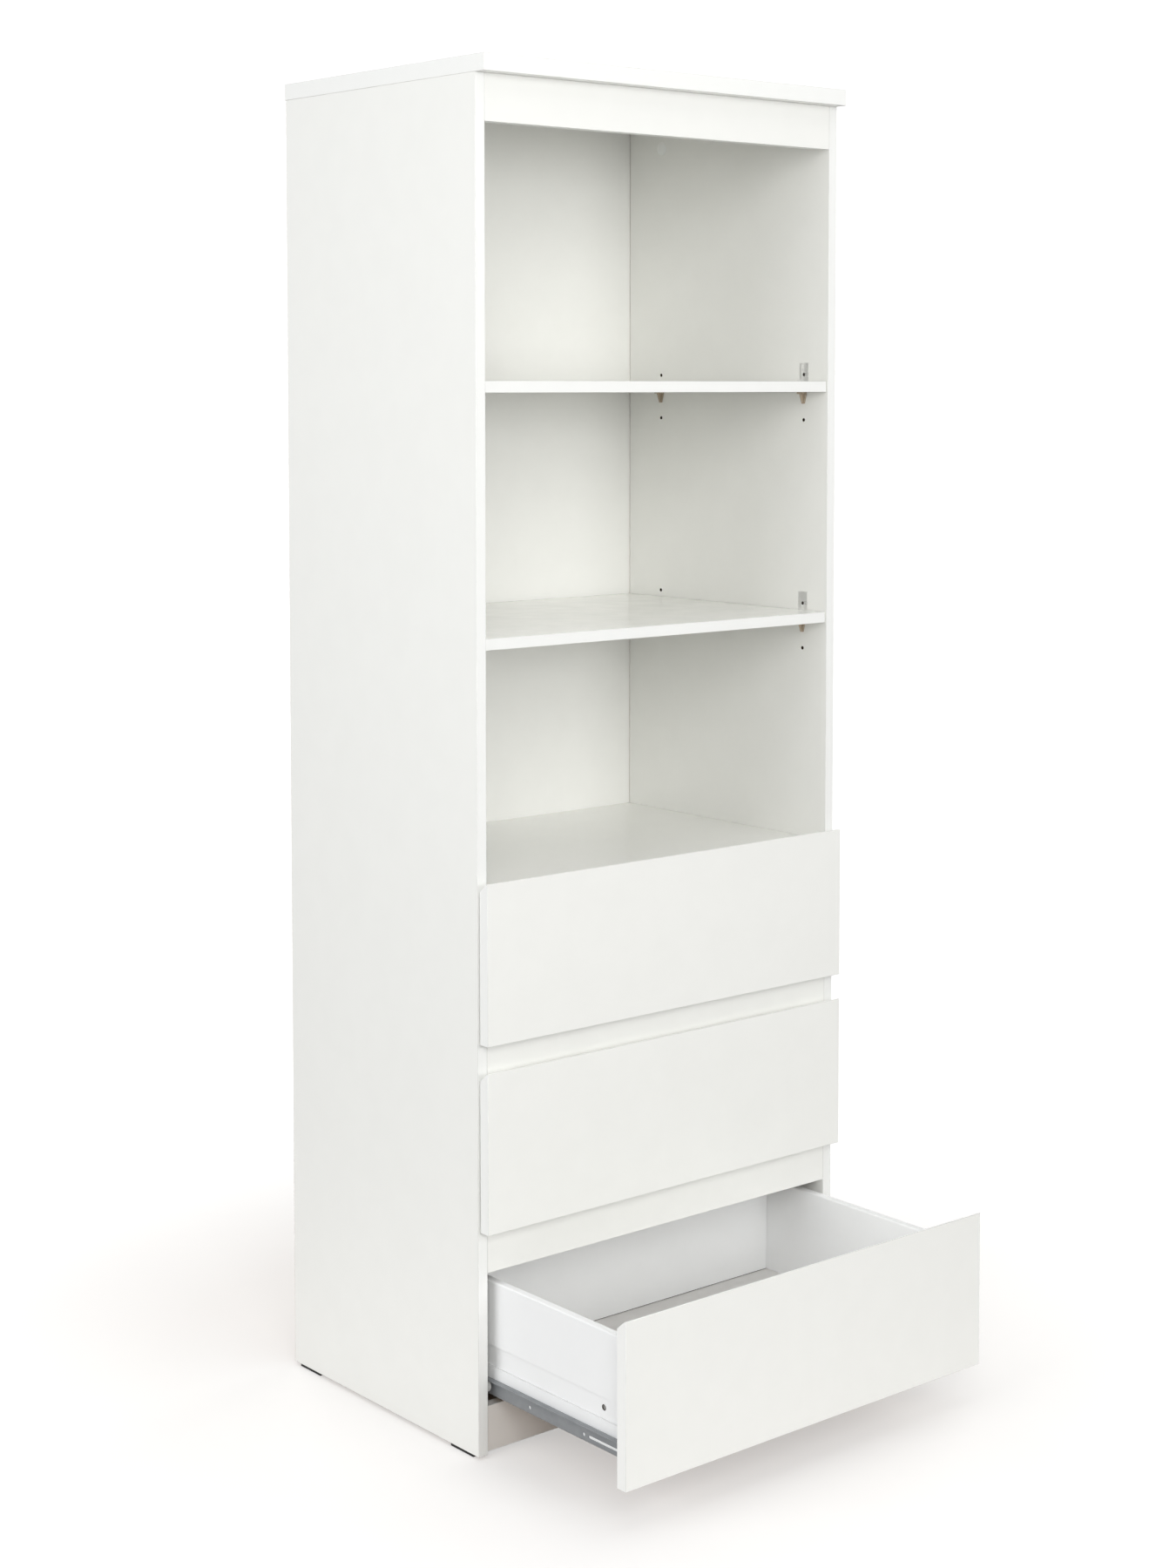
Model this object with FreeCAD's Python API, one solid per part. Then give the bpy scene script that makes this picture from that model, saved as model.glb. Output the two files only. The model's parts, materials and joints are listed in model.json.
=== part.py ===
import FreeCAD, Part
import math
import os

# Bookcase with three open compartments over three drawers.
# Millimetres. X runs to the right, Y to the back and Z up. The origin is on the floor under the
# middle of the carcass's footprint. The two upper drawers are shut and the lowest is pulled out.

Vector = FreeCAD.Vector
toRight = Vector(1, 0, 0)
toBack = Vector(0, 1, 0)
toTop = Vector(0, 0, 1)

# Carcass
carcassWidth = 635.0
carcassDepth = 425.0
overallHeight = 1785.0
boardThickness = 15.0
topThickness = 22.0
topRailHeight = 60.0
backThickness = 3.0
backInset = 2.0
plinthSetback = 8.0
plinthGap = 12.8
rearPlinthInset = 20.0

# Feet
padHeight = 4.0
padLength = 47.0
padWidth = 14.0
padInset = 13.5
padBevel = 0.8

# Drawer fronts, from the lowest up
lowestFrontBottom = 54.5
frontHeight = 208.0
frontThickness = 16.0
frontEndInset = 2.5
frontGap = 2.0
fingerGap = 35.0
gripHeight = 11.5
gripDepth = 13.5
gripRound = 3.0
drawerCount = 3
drawerTravel = 267.5

# How the boards behind the fronts line up with them
railDrop = 20.5
fixedShelfDrop = 16.5
runningGap = 3.0
boxTopGap = 4.0

# Drawer boxes
boxRise = 23.5
boxLength = 371.0
boxSideThickness = 12.0
boxTopRound = 2.2
boxBottomThickness = 3.0
boxBottomRise = 12.0
grooveDepth = 6.0
grooveSlack = 0.15
sideBandRise = 37.0
sideBandHeight = 28.0
sideBandDepth = 3.0
drawerCamSetback = 57.0
drawerCamRadius = 4.0
drawerCamWall = 2.0
drawerBoltRadius = 2.5

# Runners: a roller on each half, rolling on the other half's flange
runnerSpace = 12.5
runnerSheet = 1.2
runnerLength = 350.0
runnerSetback = 3.0
runnerHeight = 22.0
runnerLipReach = 9.0
runnerFlange = 11.0
channelReach = 9.0
channelStart = 24.0
channelSlack = 0.9
stopHeight = 4.0
stopGap = 0.3
frontRollerRadius = 8.5
rearRollerRadius = 8.0
rollerWidth = 6.0
rollerInset = 9.5
rollerGap = 0.1
rollerStandoff = 1.5
axleRadius = 2.0
axleSlack = 0.05
axleEnd = 0.6
runnerHoleRadius = 2.5
runnerHoleSpots = (91.0, 198.0)
runnerSlotStart = 82.0
runnerSlotEnd = 12.0
runnerSlotHeight = 4.0
runnerHoleRise = 7.5

# Shelves and the holes for their supports, both set out from the fixed shelf
compartmentHeight = 309.5
shelfSetback = 2.0
shelfEndGap = 1.0
shelfBackGap = 1.0
shelfCount = 2
holeRadius = 2.5
holeDepth = 11.0
holePitch = 32.0
holeDrop = 7.5
frontColumn = 47.5
rearColumn = 73.0

# Shelf supports
supportWidth = 12.0
supportReach = 8.5
supportFlange = 3.0
supportPlate = 2.0
supportDrop = 16.5
supportFoot = 5.0
supportRib = 2.0
supportPinLength = 9.5
supportPinSlack = 0.1
lockWidth = 18.0
lockHeight = 26.0
lockPlate = 1.5
lockNose = 5.0
lockNoseHeight = 2.0
lockGap = 0.3

# Cam fasteners and dowels
camRadius = 7.5
camDepth = 12.0
camDistance = 34.0
boltRadius = 3.0
boltScrewIn = 11.0
boltInset = 50.0
capRadius = 10.0
capThickness = 1.0
dowelRadius = 4.0
fitSlack = 0.1
dowelInBoard = 20.0
dowelInFace = 10.0

# Sides of the small repeated fittings, which are plain prisms
camSides = 12
capSides = 24
boltSides = 6
dowelSides = 8
pinSides = 8
punchedSides = 12
holeSides = 16

# What follows from those sizes
halfWidth = carcassWidth / 2
innerHalf = halfWidth - boardThickness
frontY = -carcassDepth / 2
rearY = carcassDepth / 2
sideTop = overallHeight - topThickness
frontPitch = frontHeight + fingerGap
highestFrontTop = lowestFrontBottom + drawerCount * frontPitch - fingerGap
fixedShelfTop = highestFrontTop - fixedShelfDrop
fixedShelfBottom = fixedShelfTop - boardThickness
boxHeight = frontHeight - boxRise - fixedShelfDrop - boardThickness - boxTopGap
boxHalf = innerHalf - runnerSpace
plinthTop = lowestFrontBottom + boxRise - runnerSheet - plinthGap
frontBackY = frontY - frontGap
frontFaceY = frontBackY - frontThickness
boxBackY = frontBackY + boxLength
supportColumns = (frontY + frontColumn, rearY - rearColumn)

boards = {}
drilling = {}
loose = {}


def box(x0, y0, z0, x1, y1, z1):
    low = Vector(min(x0, x1), min(y0, y1), min(z0, z1))
    return Part.makeBox(abs(x1 - x0), abs(y1 - y0), abs(z1 - z0), low)


def rod(radius, start, direction, length):
    return Part.makeCylinder(radius, length, start, direction)


def bar(sides, radius, start, direction, length):
    across = toTop if abs(direction.z) < 0.5 else toRight
    other = direction.cross(across)
    corners = []
    for step in range(sides):
        angle = 2 * math.pi * (step + 0.5) / sides
        corners.append(start + across * (radius * math.cos(angle)) + other * (radius * math.sin(angle)))
    return prism(corners, direction * length)


def tube(outer, inner, start, direction, length):
    return rod(outer, start, direction, length).cut(rod(inner, start, direction, length))


def prism(corners, along):
    outline = Part.makePolygon(corners + [corners[0]])
    return Part.Face(outline).extrude(along)


def cutFrom(board, tool):
    drilling.setdefault(board, []).append(tool)


def add(node, solid):
    loose.setdefault(node, []).append(solid)


def frontBottom(level):
    return lowestFrontBottom + level * frontPitch


def boxBottom(level):
    return frontBottom(level) + boxRise


def shelfBottom(level):
    return fixedShelfTop + compartmentHeight + level * (compartmentHeight + boardThickness)


def camJoint(board, face, joint, into, camSide):
    # The cam sits in the board whose end meets the face; its bolt is screwed into the face.
    mouth = joint + into * camDistance + camSide * (boardThickness / 2)
    cutFrom(board, bar(camSides, camRadius, mouth, -camSide, camDepth))
    cutFrom(board, bar(boltSides, boltRadius + fitSlack, joint, into, camDistance))
    cutFrom(face, bar(boltSides, boltRadius + fitSlack, joint, -into, boltScrewIn))
    floor = mouth - camSide * camDepth
    add("cam_locks", bar(camSides, camRadius - fitSlack, floor, camSide, camDepth))
    boltLength = boltScrewIn + camDistance - camRadius
    add("cam_bolts", bar(boltSides, boltRadius, joint - into * boltScrewIn, into, boltLength))


def dowelJoint(board, face, joint, into):
    cutFrom(board, bar(dowelSides, dowelRadius + fitSlack, joint, into, dowelInBoard))
    cutFrom(face, bar(dowelSides, dowelRadius + fitSlack, joint, -into, dowelInFace))
    start = joint - into * dowelInFace
    add("wooden_dowels", bar(dowelSides, dowelRadius, start, into, dowelInBoard + dowelInFace))


def carcassBoards():
    for name, side in (("left_side_panel", -1), ("right_side_panel", 1)):
        boards[name] = box(side * halfWidth, frontY, padHeight, side * innerHalf, rearY, sideTop)
    topRearY = rearY + backThickness
    boards["top_panel"] = box(-halfWidth, frontFaceY, sideTop, halfWidth, topRearY, overallHeight)
    boards["fixed_shelf"] = box(-innerHalf, frontY, fixedShelfBottom, innerHalf, rearY, fixedShelfTop)
    boards["top_rail"] = uprightBoard(frontY, sideTop - topRailHeight, sideTop)
    for name, level in (("lower_drawer_rail", 0), ("upper_drawer_rail", 1)):
        low = frontBottom(level) + frontHeight - railDrop
        high = boxBottom(level + 1) - runnerSheet - runningGap
        boards[name] = uprightBoard(frontY, low, high)
    boards["front_plinth"] = uprightBoard(frontY + plinthSetback, padHeight, plinthTop)
    boards["rear_plinth"] = uprightBoard(rearY - rearPlinthInset - boardThickness, padHeight, plinthTop)


def uprightBoard(y, low, high):
    return box(-innerHalf, y, low, innerHalf, y + boardThickness, high)


def carcassJoints():
    for name, side in (("left_side_panel", -1), ("right_side_panel", 1)):
        inward = toRight * -side
        middleX = side * (halfWidth - boardThickness / 2)
        for y in supportColumns:
            joint = Vector(middleX, y, sideTop)
            camJoint(name, "top_panel", joint, -toTop, inward)
            capSpot = Vector(side * innerHalf, y, sideTop - camDistance)
            add("cam_cover_caps", bar(capSides, capRadius, capSpot, inward, capThickness))
        for y in (frontY + boltInset, rearY - boltInset):
            joint = Vector(side * innerHalf, y, fixedShelfTop - boardThickness / 2)
            camJoint("fixed_shelf", name, joint, inward, -toTop)
        for rail in ("lower_drawer_rail", "upper_drawer_rail"):
            camJoint(rail, name, endOf(rail, side), inward, toBack)
        for board in ("top_rail", "front_plinth", "rear_plinth"):
            dowelJoint(board, name, endOf(board, side), inward)


def endOf(board, side):
    bounds = boards[board].BoundBox
    return Vector(side * innerHalf, bounds.Center.y, bounds.Center.z)


def supportHoles():
    for name, side in (("left_side_panel", -1), ("right_side_panel", 1)):
        for shelf in range(shelfCount):
            for y in supportColumns:
                for row in (-1, 0, 1):
                    z = shelfBottom(shelf) - holeDrop + row * holePitch
                    mouth = Vector(side * innerHalf, y, z)
                    cutFrom(name, bar(holeSides, holeRadius, mouth, toRight * side, holeDepth))


def backPanels():
    edge = halfWidth - backInset
    seam = fixedShelfTop - boardThickness / 2
    back = rearY + backThickness
    boards["upper_back_panel"] = box(-edge, rearY, seam, edge, back, sideTop)
    boards["lower_back_panel"] = box(-edge, rearY, padHeight + backInset, edge, back, seam)


def footPads():
    middleX = halfWidth - boardThickness / 2
    half = padWidth / 2
    for side in (-1, 1):
        for y in (frontY + padInset, rearY - padInset - padLength):
            corners = [
                Vector(side * middleX - half, y, padHeight),
                Vector(side * middleX - half, y, padBevel),
                Vector(side * middleX - half + padBevel, y, 0),
                Vector(side * middleX + half - padBevel, y, 0),
                Vector(side * middleX + half, y, padBevel),
                Vector(side * middleX + half, y, padHeight),
            ]
            add("foot_pads", prism(corners, toBack * padLength))


def looseShelves():
    half = innerHalf - shelfEndGap
    for name, level in (("lower_shelf", 0), ("upper_shelf", 1)):
        low = shelfBottom(level)
        high = low + boardThickness
        boards[name] = box(-half, frontY + shelfSetback, low, half, rearY - shelfBackGap, high)


def shelfSupport(side, y, low):
    # Flange under the shelf, tapered plate on the panel, rib between the two and a pin in the hole.
    wall = side * innerHalf
    inward = -side
    flange = box(wall, y - supportWidth / 2, low - supportFlange, wall + inward * supportReach,
                 y + supportWidth / 2, low)
    under = low - supportFlange
    foot = low - supportDrop
    plate = prism([
        Vector(wall, y - supportWidth / 2, under),
        Vector(wall, y - supportFoot / 2, foot),
        Vector(wall, y + supportFoot / 2, foot),
        Vector(wall, y + supportWidth / 2, under),
    ], toRight * (inward * supportPlate))
    rib = prism([
        Vector(wall, y - supportRib / 2, under),
        Vector(wall + inward * supportReach, y - supportRib / 2, under),
        Vector(wall + inward * supportPlate * 2, y - supportRib / 2, foot),
        Vector(wall, y - supportRib / 2, foot),
    ], toBack * supportRib)
    hole = Vector(wall, y, low - holeDrop)
    pin = bar(pinSides, holeRadius - supportPinSlack, hole, toRight * side, supportPinLength)
    return flange.fuse([plate, rib, pin]).removeSplitter()


def shelfLock(side, y, top):
    # Clear tab pinned in the hole above the shelf, with a nose that keeps the shelf from tipping.
    wall = side * innerHalf
    inward = -side
    low = top + lockGap
    plate = box(wall, y - lockWidth / 2, low, wall + inward * lockPlate, y + lockWidth / 2, low + lockHeight)
    noseTop = low + lockNoseHeight
    nose = box(wall, y - lockWidth / 2, low, wall + inward * lockNose, y + lockWidth / 2, noseTop)
    hole = Vector(wall, y, top - boardThickness - holeDrop + holePitch)
    pin = bar(pinSides, holeRadius - supportPinSlack, hole, toRight * side, supportPinLength)
    return plate.fuse([nose, pin]).removeSplitter()


def shelfFittings():
    for name, level in (("lower_shelf_supports", 0), ("upper_shelf_supports", 1)):
        for side in (-1, 1):
            for y in supportColumns:
                add(name, shelfSupport(side, y, shelfBottom(level)))
            add("shelf_lock_tabs", shelfLock(side, supportColumns[0], shelfBottom(level) + boardThickness))


def cabinetRunner(side, level):
    wall = side * innerHalf
    low = boxBottom(level)
    inner = wall - side * runnerSheet
    lip = wall - side * channelReach
    channelTop = low + rollerGap + 2 * rearRollerRadius + channelSlack
    start = frontY + runnerSetback
    end = start + runnerLength
    web = box(wall, start, low - runnerSheet, inner, end, channelTop + runnerSheet)
    channel = prism([
        Vector(wall, start + channelStart, low - runnerSheet),
        Vector(lip, start + channelStart, low - runnerSheet),
        Vector(lip, start + channelStart, low),
        Vector(inner, start + channelStart, low),
        Vector(inner, start + channelStart, channelTop),
        Vector(lip, start + channelStart, channelTop),
        Vector(lip, start + channelStart, channelTop + runnerSheet),
        Vector(wall, start + channelStart, channelTop + runnerSheet),
    ], toBack * (runnerLength - channelStart))
    pieces = [channel]
    for y in (openStopY(), shutStopY()):
        pieces.append(box(inner, y, low - runnerSheet / 2, lip, y + runnerSheet, low + stopHeight))
    centre = Vector(wall, frontY + runnerSetback + rollerInset, frontRollerZ(level))
    axleLength = runnerSheet + rollerStandoff + rollerWidth + axleEnd
    pieces.append(rod(axleRadius, centre, toRight * -side, axleLength))
    return web.fuse(pieces).removeSplitter()


def rearRollerY():
    return frontBackY + runnerLength - rollerInset


def rollerReachAtStop():
    # How far from its axle the rear roller meets the top edge of a stop
    rise = rearRollerRadius + rollerGap - stopHeight
    return math.sqrt(rearRollerRadius ** 2 - rise ** 2)


def openStopY():
    return rearRollerY() - drawerTravel - rollerReachAtStop() - stopGap - runnerSheet


def shutStopY():
    return rearRollerY() + rollerReachAtStop() + stopGap


def frontRollerZ(level):
    return boxBottom(level) + runnerHeight - runnerSheet - rollerGap - frontRollerRadius


def rearRollerZ(level):
    return boxBottom(level) + rollerGap + rearRollerRadius


def frontRollers(level):
    for side in (-1, 1):
        x = side * (innerHalf - runnerSheet - rollerStandoff)
        start = Vector(x, frontY + runnerSetback + rollerInset, frontRollerZ(level))
        yield tube(frontRollerRadius, axleRadius + axleSlack, start, toRight * -side, rollerWidth)


def rearRollerX(side):
    return side * (innerHalf - channelReach)


def rearRollers(level):
    for side in (-1, 1):
        start = Vector(rearRollerX(side), rearRollerY(), rearRollerZ(level))
        yield tube(rearRollerRadius, axleRadius + axleSlack, start, toRight * side, rollerWidth)


def drawerRunner(side, level):
    face = side * boxHalf
    low = boxBottom(level)
    outer = face + side * runnerSheet
    under = face - side * runnerFlange
    lip = side * (innerHalf - runnerSpace + runnerLipReach)
    top = low + runnerHeight
    start = frontBackY
    profile = prism([
        Vector(under, start, low - runnerSheet),
        Vector(outer, start, low - runnerSheet),
        Vector(outer, start, top - runnerSheet),
        Vector(lip, start, top - runnerSheet),
        Vector(lip, start, top),
        Vector(face, start, top),
        Vector(face, start, low),
        Vector(under, start, low),
    ], toBack * runnerLength)
    outward = toRight * side
    height = low + runnerHoleRise
    for spot in runnerHoleSpots:
        mouth = Vector(face, start + spot, height)
        profile = profile.cut(bar(punchedSides, runnerHoleRadius, mouth, outward, runnerSheet))
    half = runnerSlotHeight / 2
    slot = box(face, start + runnerSlotEnd, height - half, outer, start + runnerSlotStart, height + half)
    profile = profile.cut(slot)
    centre = Vector(face, rearRollerY(), rearRollerZ(level))
    axleLength = runnerSpace - channelReach + rollerWidth + axleEnd
    return profile.fuse(rod(axleRadius, centre, outward, axleLength)).removeSplitter()


def drawerFront(level):
    low = frontBottom(level)
    top = low + frontHeight
    half = halfWidth - frontEndInset
    outline = [
        Vector(-half, frontFaceY, low),
        Vector(-half, frontFaceY, top),
        Vector(-half, frontBackY - gripDepth, top),
        Vector(-half, frontBackY, top - gripHeight),
        Vector(-half, frontBackY, low),
    ]
    front = prism(outline, toRight * (2 * half))
    corners = (outline[2], outline[3])
    grip = [edge for edge in front.Edges if isAlong(edge, corners)]
    return front.makeFillet(gripRound, grip)


def isAlong(edge, corners):
    middle = edge.CenterOfMass
    return any(math.hypot(middle.y - c.y, middle.z - c.z) < 0.01 for c in corners)


def boxWall(x0, y0, low, x1, y1, top):
    # A board of the drawer box with its two long top edges rounded
    wall = box(x0, y0, low, x1, y1, top)
    shortest = boxSideThickness * 2
    upper = [e for e in wall.Edges if e.CenterOfMass.z > top - boxTopRound and e.Length > shortest]
    return wall.makeFillet(boxTopRound, upper)


def drawerBox(name, level, shift):
    low = boxBottom(level)
    top = low + boxHeight
    inner = boxHalf - boxSideThickness
    sheetLow = low + boxBottomRise
    sheetHalf = inner + grooveDepth - grooveSlack
    sheetFront = frontBackY - grooveDepth + grooveSlack
    backY = boxBackY - boxSideThickness
    sheet = box(-sheetHalf, sheetFront, sheetLow, sheetHalf, boxBackY, sheetLow + boxBottomThickness)
    groove = box(-inner - grooveDepth, frontBackY - grooveDepth, sheetLow - grooveSlack,
                 inner + grooveDepth, boxBackY, sheetLow + boxBottomThickness + grooveSlack)
    front = drawerFront(level).cut(groove)
    pocketDepth = boxSideThickness - sideBandDepth - drawerCamWall
    bandLow = low + sideBandRise
    bandTop = bandLow + sideBandHeight
    for word, side in (("left", -1), ("right", 1)):
        outward = toRight * side
        # A shallow band is sunk along the outer face; the cam sits in it, halfway up
        bandX = side * (boxHalf - sideBandDepth)
        band = box(side * boxHalf, frontBackY, bandLow, bandX, boxBackY, bandTop)
        height = (bandLow + bandTop) / 2
        mouth = Vector(bandX, frontBackY + drawerCamSetback, height)
        joint = Vector((bandX + side * inner) / 2, frontBackY, height)
        bore = bar(boltSides, drawerBoltRadius + fitSlack, joint, toBack, drawerCamSetback)
        pocket = bar(camSides, drawerCamRadius, mouth, -outward, pocketDepth)
        board = boxWall(side * boxHalf, frontBackY, low, side * inner, boxBackY, top)
        front = front.cut(bar(boltSides, drawerBoltRadius + fitSlack, joint, -toBack, boltScrewIn))
        floor = mouth - outward * pocketDepth
        cam = bar(camSides, drawerCamRadius - fitSlack, floor, outward, pocketDepth)
        boltLength = boltScrewIn + drawerCamSetback - drawerCamRadius
        bolt = bar(boltSides, drawerBoltRadius, joint - toBack * boltScrewIn, toBack, boltLength)
        add(name + "_drawer_cam_fasteners", cam.translated(shift))
        add(name + "_drawer_cam_fasteners", bolt.translated(shift))
        board = board.cut([groove, band, bore, pocket])
        add(name + "_drawer_" + word + "_side", board.translated(shift))
        add(name + "_drawer_" + word + "_runner", drawerRunner(side, level).translated(shift))
    back = boxWall(-inner, backY, sheetLow + boxBottomThickness, inner, boxBackY, top)
    add(name + "_drawer_front", front.translated(shift))
    add(name + "_drawer_back", back.translated(shift))
    add(name + "_drawer_bottom", sheet.translated(shift))
    for roller in rearRollers(level):
        add(name + "_drawer_rear_rollers", roller.translated(shift))


def drawers():
    for name, level, pulledOut in (("bottom", 0, drawerTravel), ("middle", 1, 0.0), ("top", 2, 0.0)):
        drawerBox(name, level, Vector(0, -pulledOut, 0))
        for word, side in (("left", -1), ("right", 1)):
            add(name + "_" + word + "_cabinet_runner", cabinetRunner(side, level))
        for roller in frontRollers(level):
            add(name + "_front_rollers", roller)


def writeParts():
    os.makedirs("parts", exist_ok=True)
    for name, board in boards.items():
        tools = drilling.get(name)
        finished = board.cut(tools) if tools else board
        add(name, finished)
    for name, solids in loose.items():
        shape = solids[0] if len(solids) == 1 else Part.makeCompound(solids)
        shape.exportStep(os.path.join("parts", name + ".step"))


carcassBoards()
backPanels()
looseShelves()
carcassJoints()
supportHoles()
footPads()
shelfFittings()
drawers()
writeParts()
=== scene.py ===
import json
import math

import bmesh
import bpy
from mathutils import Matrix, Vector


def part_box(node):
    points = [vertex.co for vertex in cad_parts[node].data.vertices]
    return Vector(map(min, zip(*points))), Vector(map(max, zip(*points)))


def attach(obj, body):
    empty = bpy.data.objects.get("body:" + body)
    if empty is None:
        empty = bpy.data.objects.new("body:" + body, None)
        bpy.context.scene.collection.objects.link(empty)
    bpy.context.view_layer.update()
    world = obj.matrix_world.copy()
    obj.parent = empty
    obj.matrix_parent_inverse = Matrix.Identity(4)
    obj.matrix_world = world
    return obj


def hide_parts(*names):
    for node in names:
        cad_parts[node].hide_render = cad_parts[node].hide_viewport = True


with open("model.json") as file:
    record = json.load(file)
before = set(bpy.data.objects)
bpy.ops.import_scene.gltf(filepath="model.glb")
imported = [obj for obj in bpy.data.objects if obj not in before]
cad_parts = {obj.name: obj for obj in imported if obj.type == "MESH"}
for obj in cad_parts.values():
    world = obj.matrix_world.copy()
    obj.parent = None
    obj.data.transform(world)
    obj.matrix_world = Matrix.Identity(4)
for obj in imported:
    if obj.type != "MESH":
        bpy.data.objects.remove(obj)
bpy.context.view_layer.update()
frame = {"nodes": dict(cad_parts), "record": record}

nodes = frame["nodes"]
bodyOf = {node: body for body, members in frame["record"]["behaviour"]["bodies"].items() for node in members}
levels = ("bottom", "middle", "top")
sides = (("left", -1), ("right", 1))
print("packed bookcase loaded:", len(nodes), "nodes")


# Wiring nodes together, in finishes and in shapes


def wire(tree, node, sources):
    # sources is {socket: what feeds it}; a plain value is set on the socket, and a list is joined
    for socket, feeds in sources.items():
        for feed in feeds if isinstance(feeds, list) else [feeds]:
            if isinstance(feed, bpy.types.NodeSocket):
                tree.links.new(feed, node.inputs[socket])
            else:
                node.inputs[socket].default_value = feed


def put(tree, kind, sources=None, result=0, **settings):
    # adds one node and gives one of its outputs
    node = tree.nodes.new(kind)
    for name, value in settings.items():
        setattr(node, name, value)
    wire(tree, node, sources or {})
    return node.outputs[result]


def sums(tree, operation, first, second):
    return put(tree, "ShaderNodeMath", {0: first, 1: second}, operation=operation)


def lengthOf(tree, arrow):
    return put(tree, "ShaderNodeVectorMath", {0: arrow}, "Value", operation="LENGTH")


def ramp(tree, value, stops):
    node = tree.nodes.new("ShaderNodeValToRGB")
    band = node.color_ramp
    while len(band.elements) < len(stops):
        band.elements.new(0.5)
    for element, (place, colour) in zip(band.elements, stops):
        element.position = place
        element.color = (*colour, 1.0)
    wire(tree, node, {"Fac": value})
    return node.outputs["Color"]


def startFinish(name, shaderValues):
    finish = bpy.data.materials.new(name)
    finish.use_nodes = True
    tree = finish.node_tree
    shader = tree.nodes["Principled BSDF"]
    wire(tree, shader, shaderValues)
    return finish, tree, shader, put(tree, "ShaderNodeTexCoord", result="Object")


# Putting objects in the scene


def addObject(name, data):
    piece = bpy.data.objects.new(name, data)
    bpy.context.scene.collection.objects.link(piece)
    return piece


def addWork(name, work, finishes):
    # writes the edited mesh out as an object of its own
    mesh = bpy.data.meshes.new(name)
    work.to_mesh(mesh)
    work.free()
    for finish in finishes:
        mesh.materials.append(finish)
    return addObject(name, mesh)


# Camera, floor and light

cameraView = {
    "place": (-2.25144, -2.74757, 1.37572),  # metres
    "turn": -39.854,  # degrees from looking straight at the front
    "tilt": -3.77,
    "focalPixels": 2928.2,
    "risePixels": 265.0,  # how far the view is shifted down
    "framePixels": 1800.0,
    "sensor": 36.0,
    "nearest": 0.05,
    "farthest": 200.0,
}


def addCamera(view):
    camera = bpy.data.cameras.new("standingCamera")
    camera.sensor_width = view["sensor"]
    camera.lens = view["focalPixels"] / view["framePixels"] * view["sensor"]
    camera.shift_y = -view["risePixels"] / view["framePixels"]
    camera.clip_start, camera.clip_end = view["nearest"], view["farthest"]
    holder = addObject("standingCamera", camera)
    holder.location = view["place"]
    holder.rotation_euler = (math.radians(90 + view["tilt"]), 0, math.radians(view["turn"]))
    bpy.context.scene.camera = holder


addCamera(cameraView)

studio = {
    "sky": {"Color": (1.0, 1.0, 1.0, 1.0), "Strength": 0.32},
    "backdropRadius": 40.0,
    "backdropStrength": 1.2,
    "floorRadius": 1.9,
    "floor": {"Base Color": (0.85, 0.825, 0.805, 1.0), "Roughness": 0.9, "Specular IOR Level": 0.1},
    # how solid the floor is at these distances from the middle; its rim melts into the backdrop
    "floorFade": [(0.56, 0.65), (0.80, 0.50), (1.10, 0.26), (1.40, 0.09), (1.75, 0.0)],
    "underCarcass": ((-0.30, -0.185), (0.30, 0.20)),  # corners of the solid patch that the carcass hides
    "patchDrop": 0.001,
}

# name: place, aim, size, power, colour
softboxes = {
    "centre": ((0.2, -3.1, 2.0), (0.0, 0.0, 1.1), (2.0, 1.5), 11.0, (0.985, 0.99, 1.0)),
    "centreLow": ((0.4, -4.6, 1.45), (0.0, 0.0, 1.2), (1.8, 1.3), 47.0, (0.985, 0.99, 1.0)),
    "farLeft": ((-3.6, -4.4, 2.0), (0.0, 0.0, 1.1), (2.2, 2.2), 19.0, (1.0, 1.0, 0.985)),
    "nearLeft": ((-2.0, -3.0, 2.3), (0.0, 0.0, 1.4), (1.5, 1.8), 45.0, (1.0, 1.0, 0.985)),
    "leftSide": ((-3.2, 0.0, 1.6), (0.0, 0.0, 0.9), (2.0, 2.5), 49.0, (0.97, 0.982, 1.0)),
    "overhead": ((0.0, -1.0, 3.4), (0.0, 0.0, 0.5), (2.4, 1.6), 13.0, (1.0, 1.0, 0.99)),
    "rightSide": ((3.3, 0.4, 1.9), (0.0, 0.0, 0.9), (2.0, 2.5), 46.0, (1.0, 1.0, 0.98)),
    "behind": ((0.3, 3.6, 2.0), (0.0, 0.0, 0.9), (2.5, 2.0), 56.0, (1.0, 1.0, 0.98)),
}


def addSky(light):
    world = bpy.data.worlds.new("paleStudio")
    world.use_nodes = True
    wire(world.node_tree, world.node_tree.nodes["Background"], light["sky"])
    bpy.context.scene.world = world
    bpy.context.scene.view_settings.view_transform = "Standard"


def addSoftbox(name, place, aim, size, power, colour):
    lamp = bpy.data.lights.new(name, "AREA")
    lamp.shape = "RECTANGLE"
    lamp.size, lamp.size_y = size
    lamp.energy = power
    lamp.color = colour
    holder = addObject(name, lamp)
    holder.location = place
    holder.rotation_euler = (Vector(aim) - Vector(place)).to_track_quat("-Z", "Y").to_euler()
    holder.visible_camera = False


def addStage(name, work, finish):
    stage = addWork(name, work, [finish])
    return stage


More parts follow.
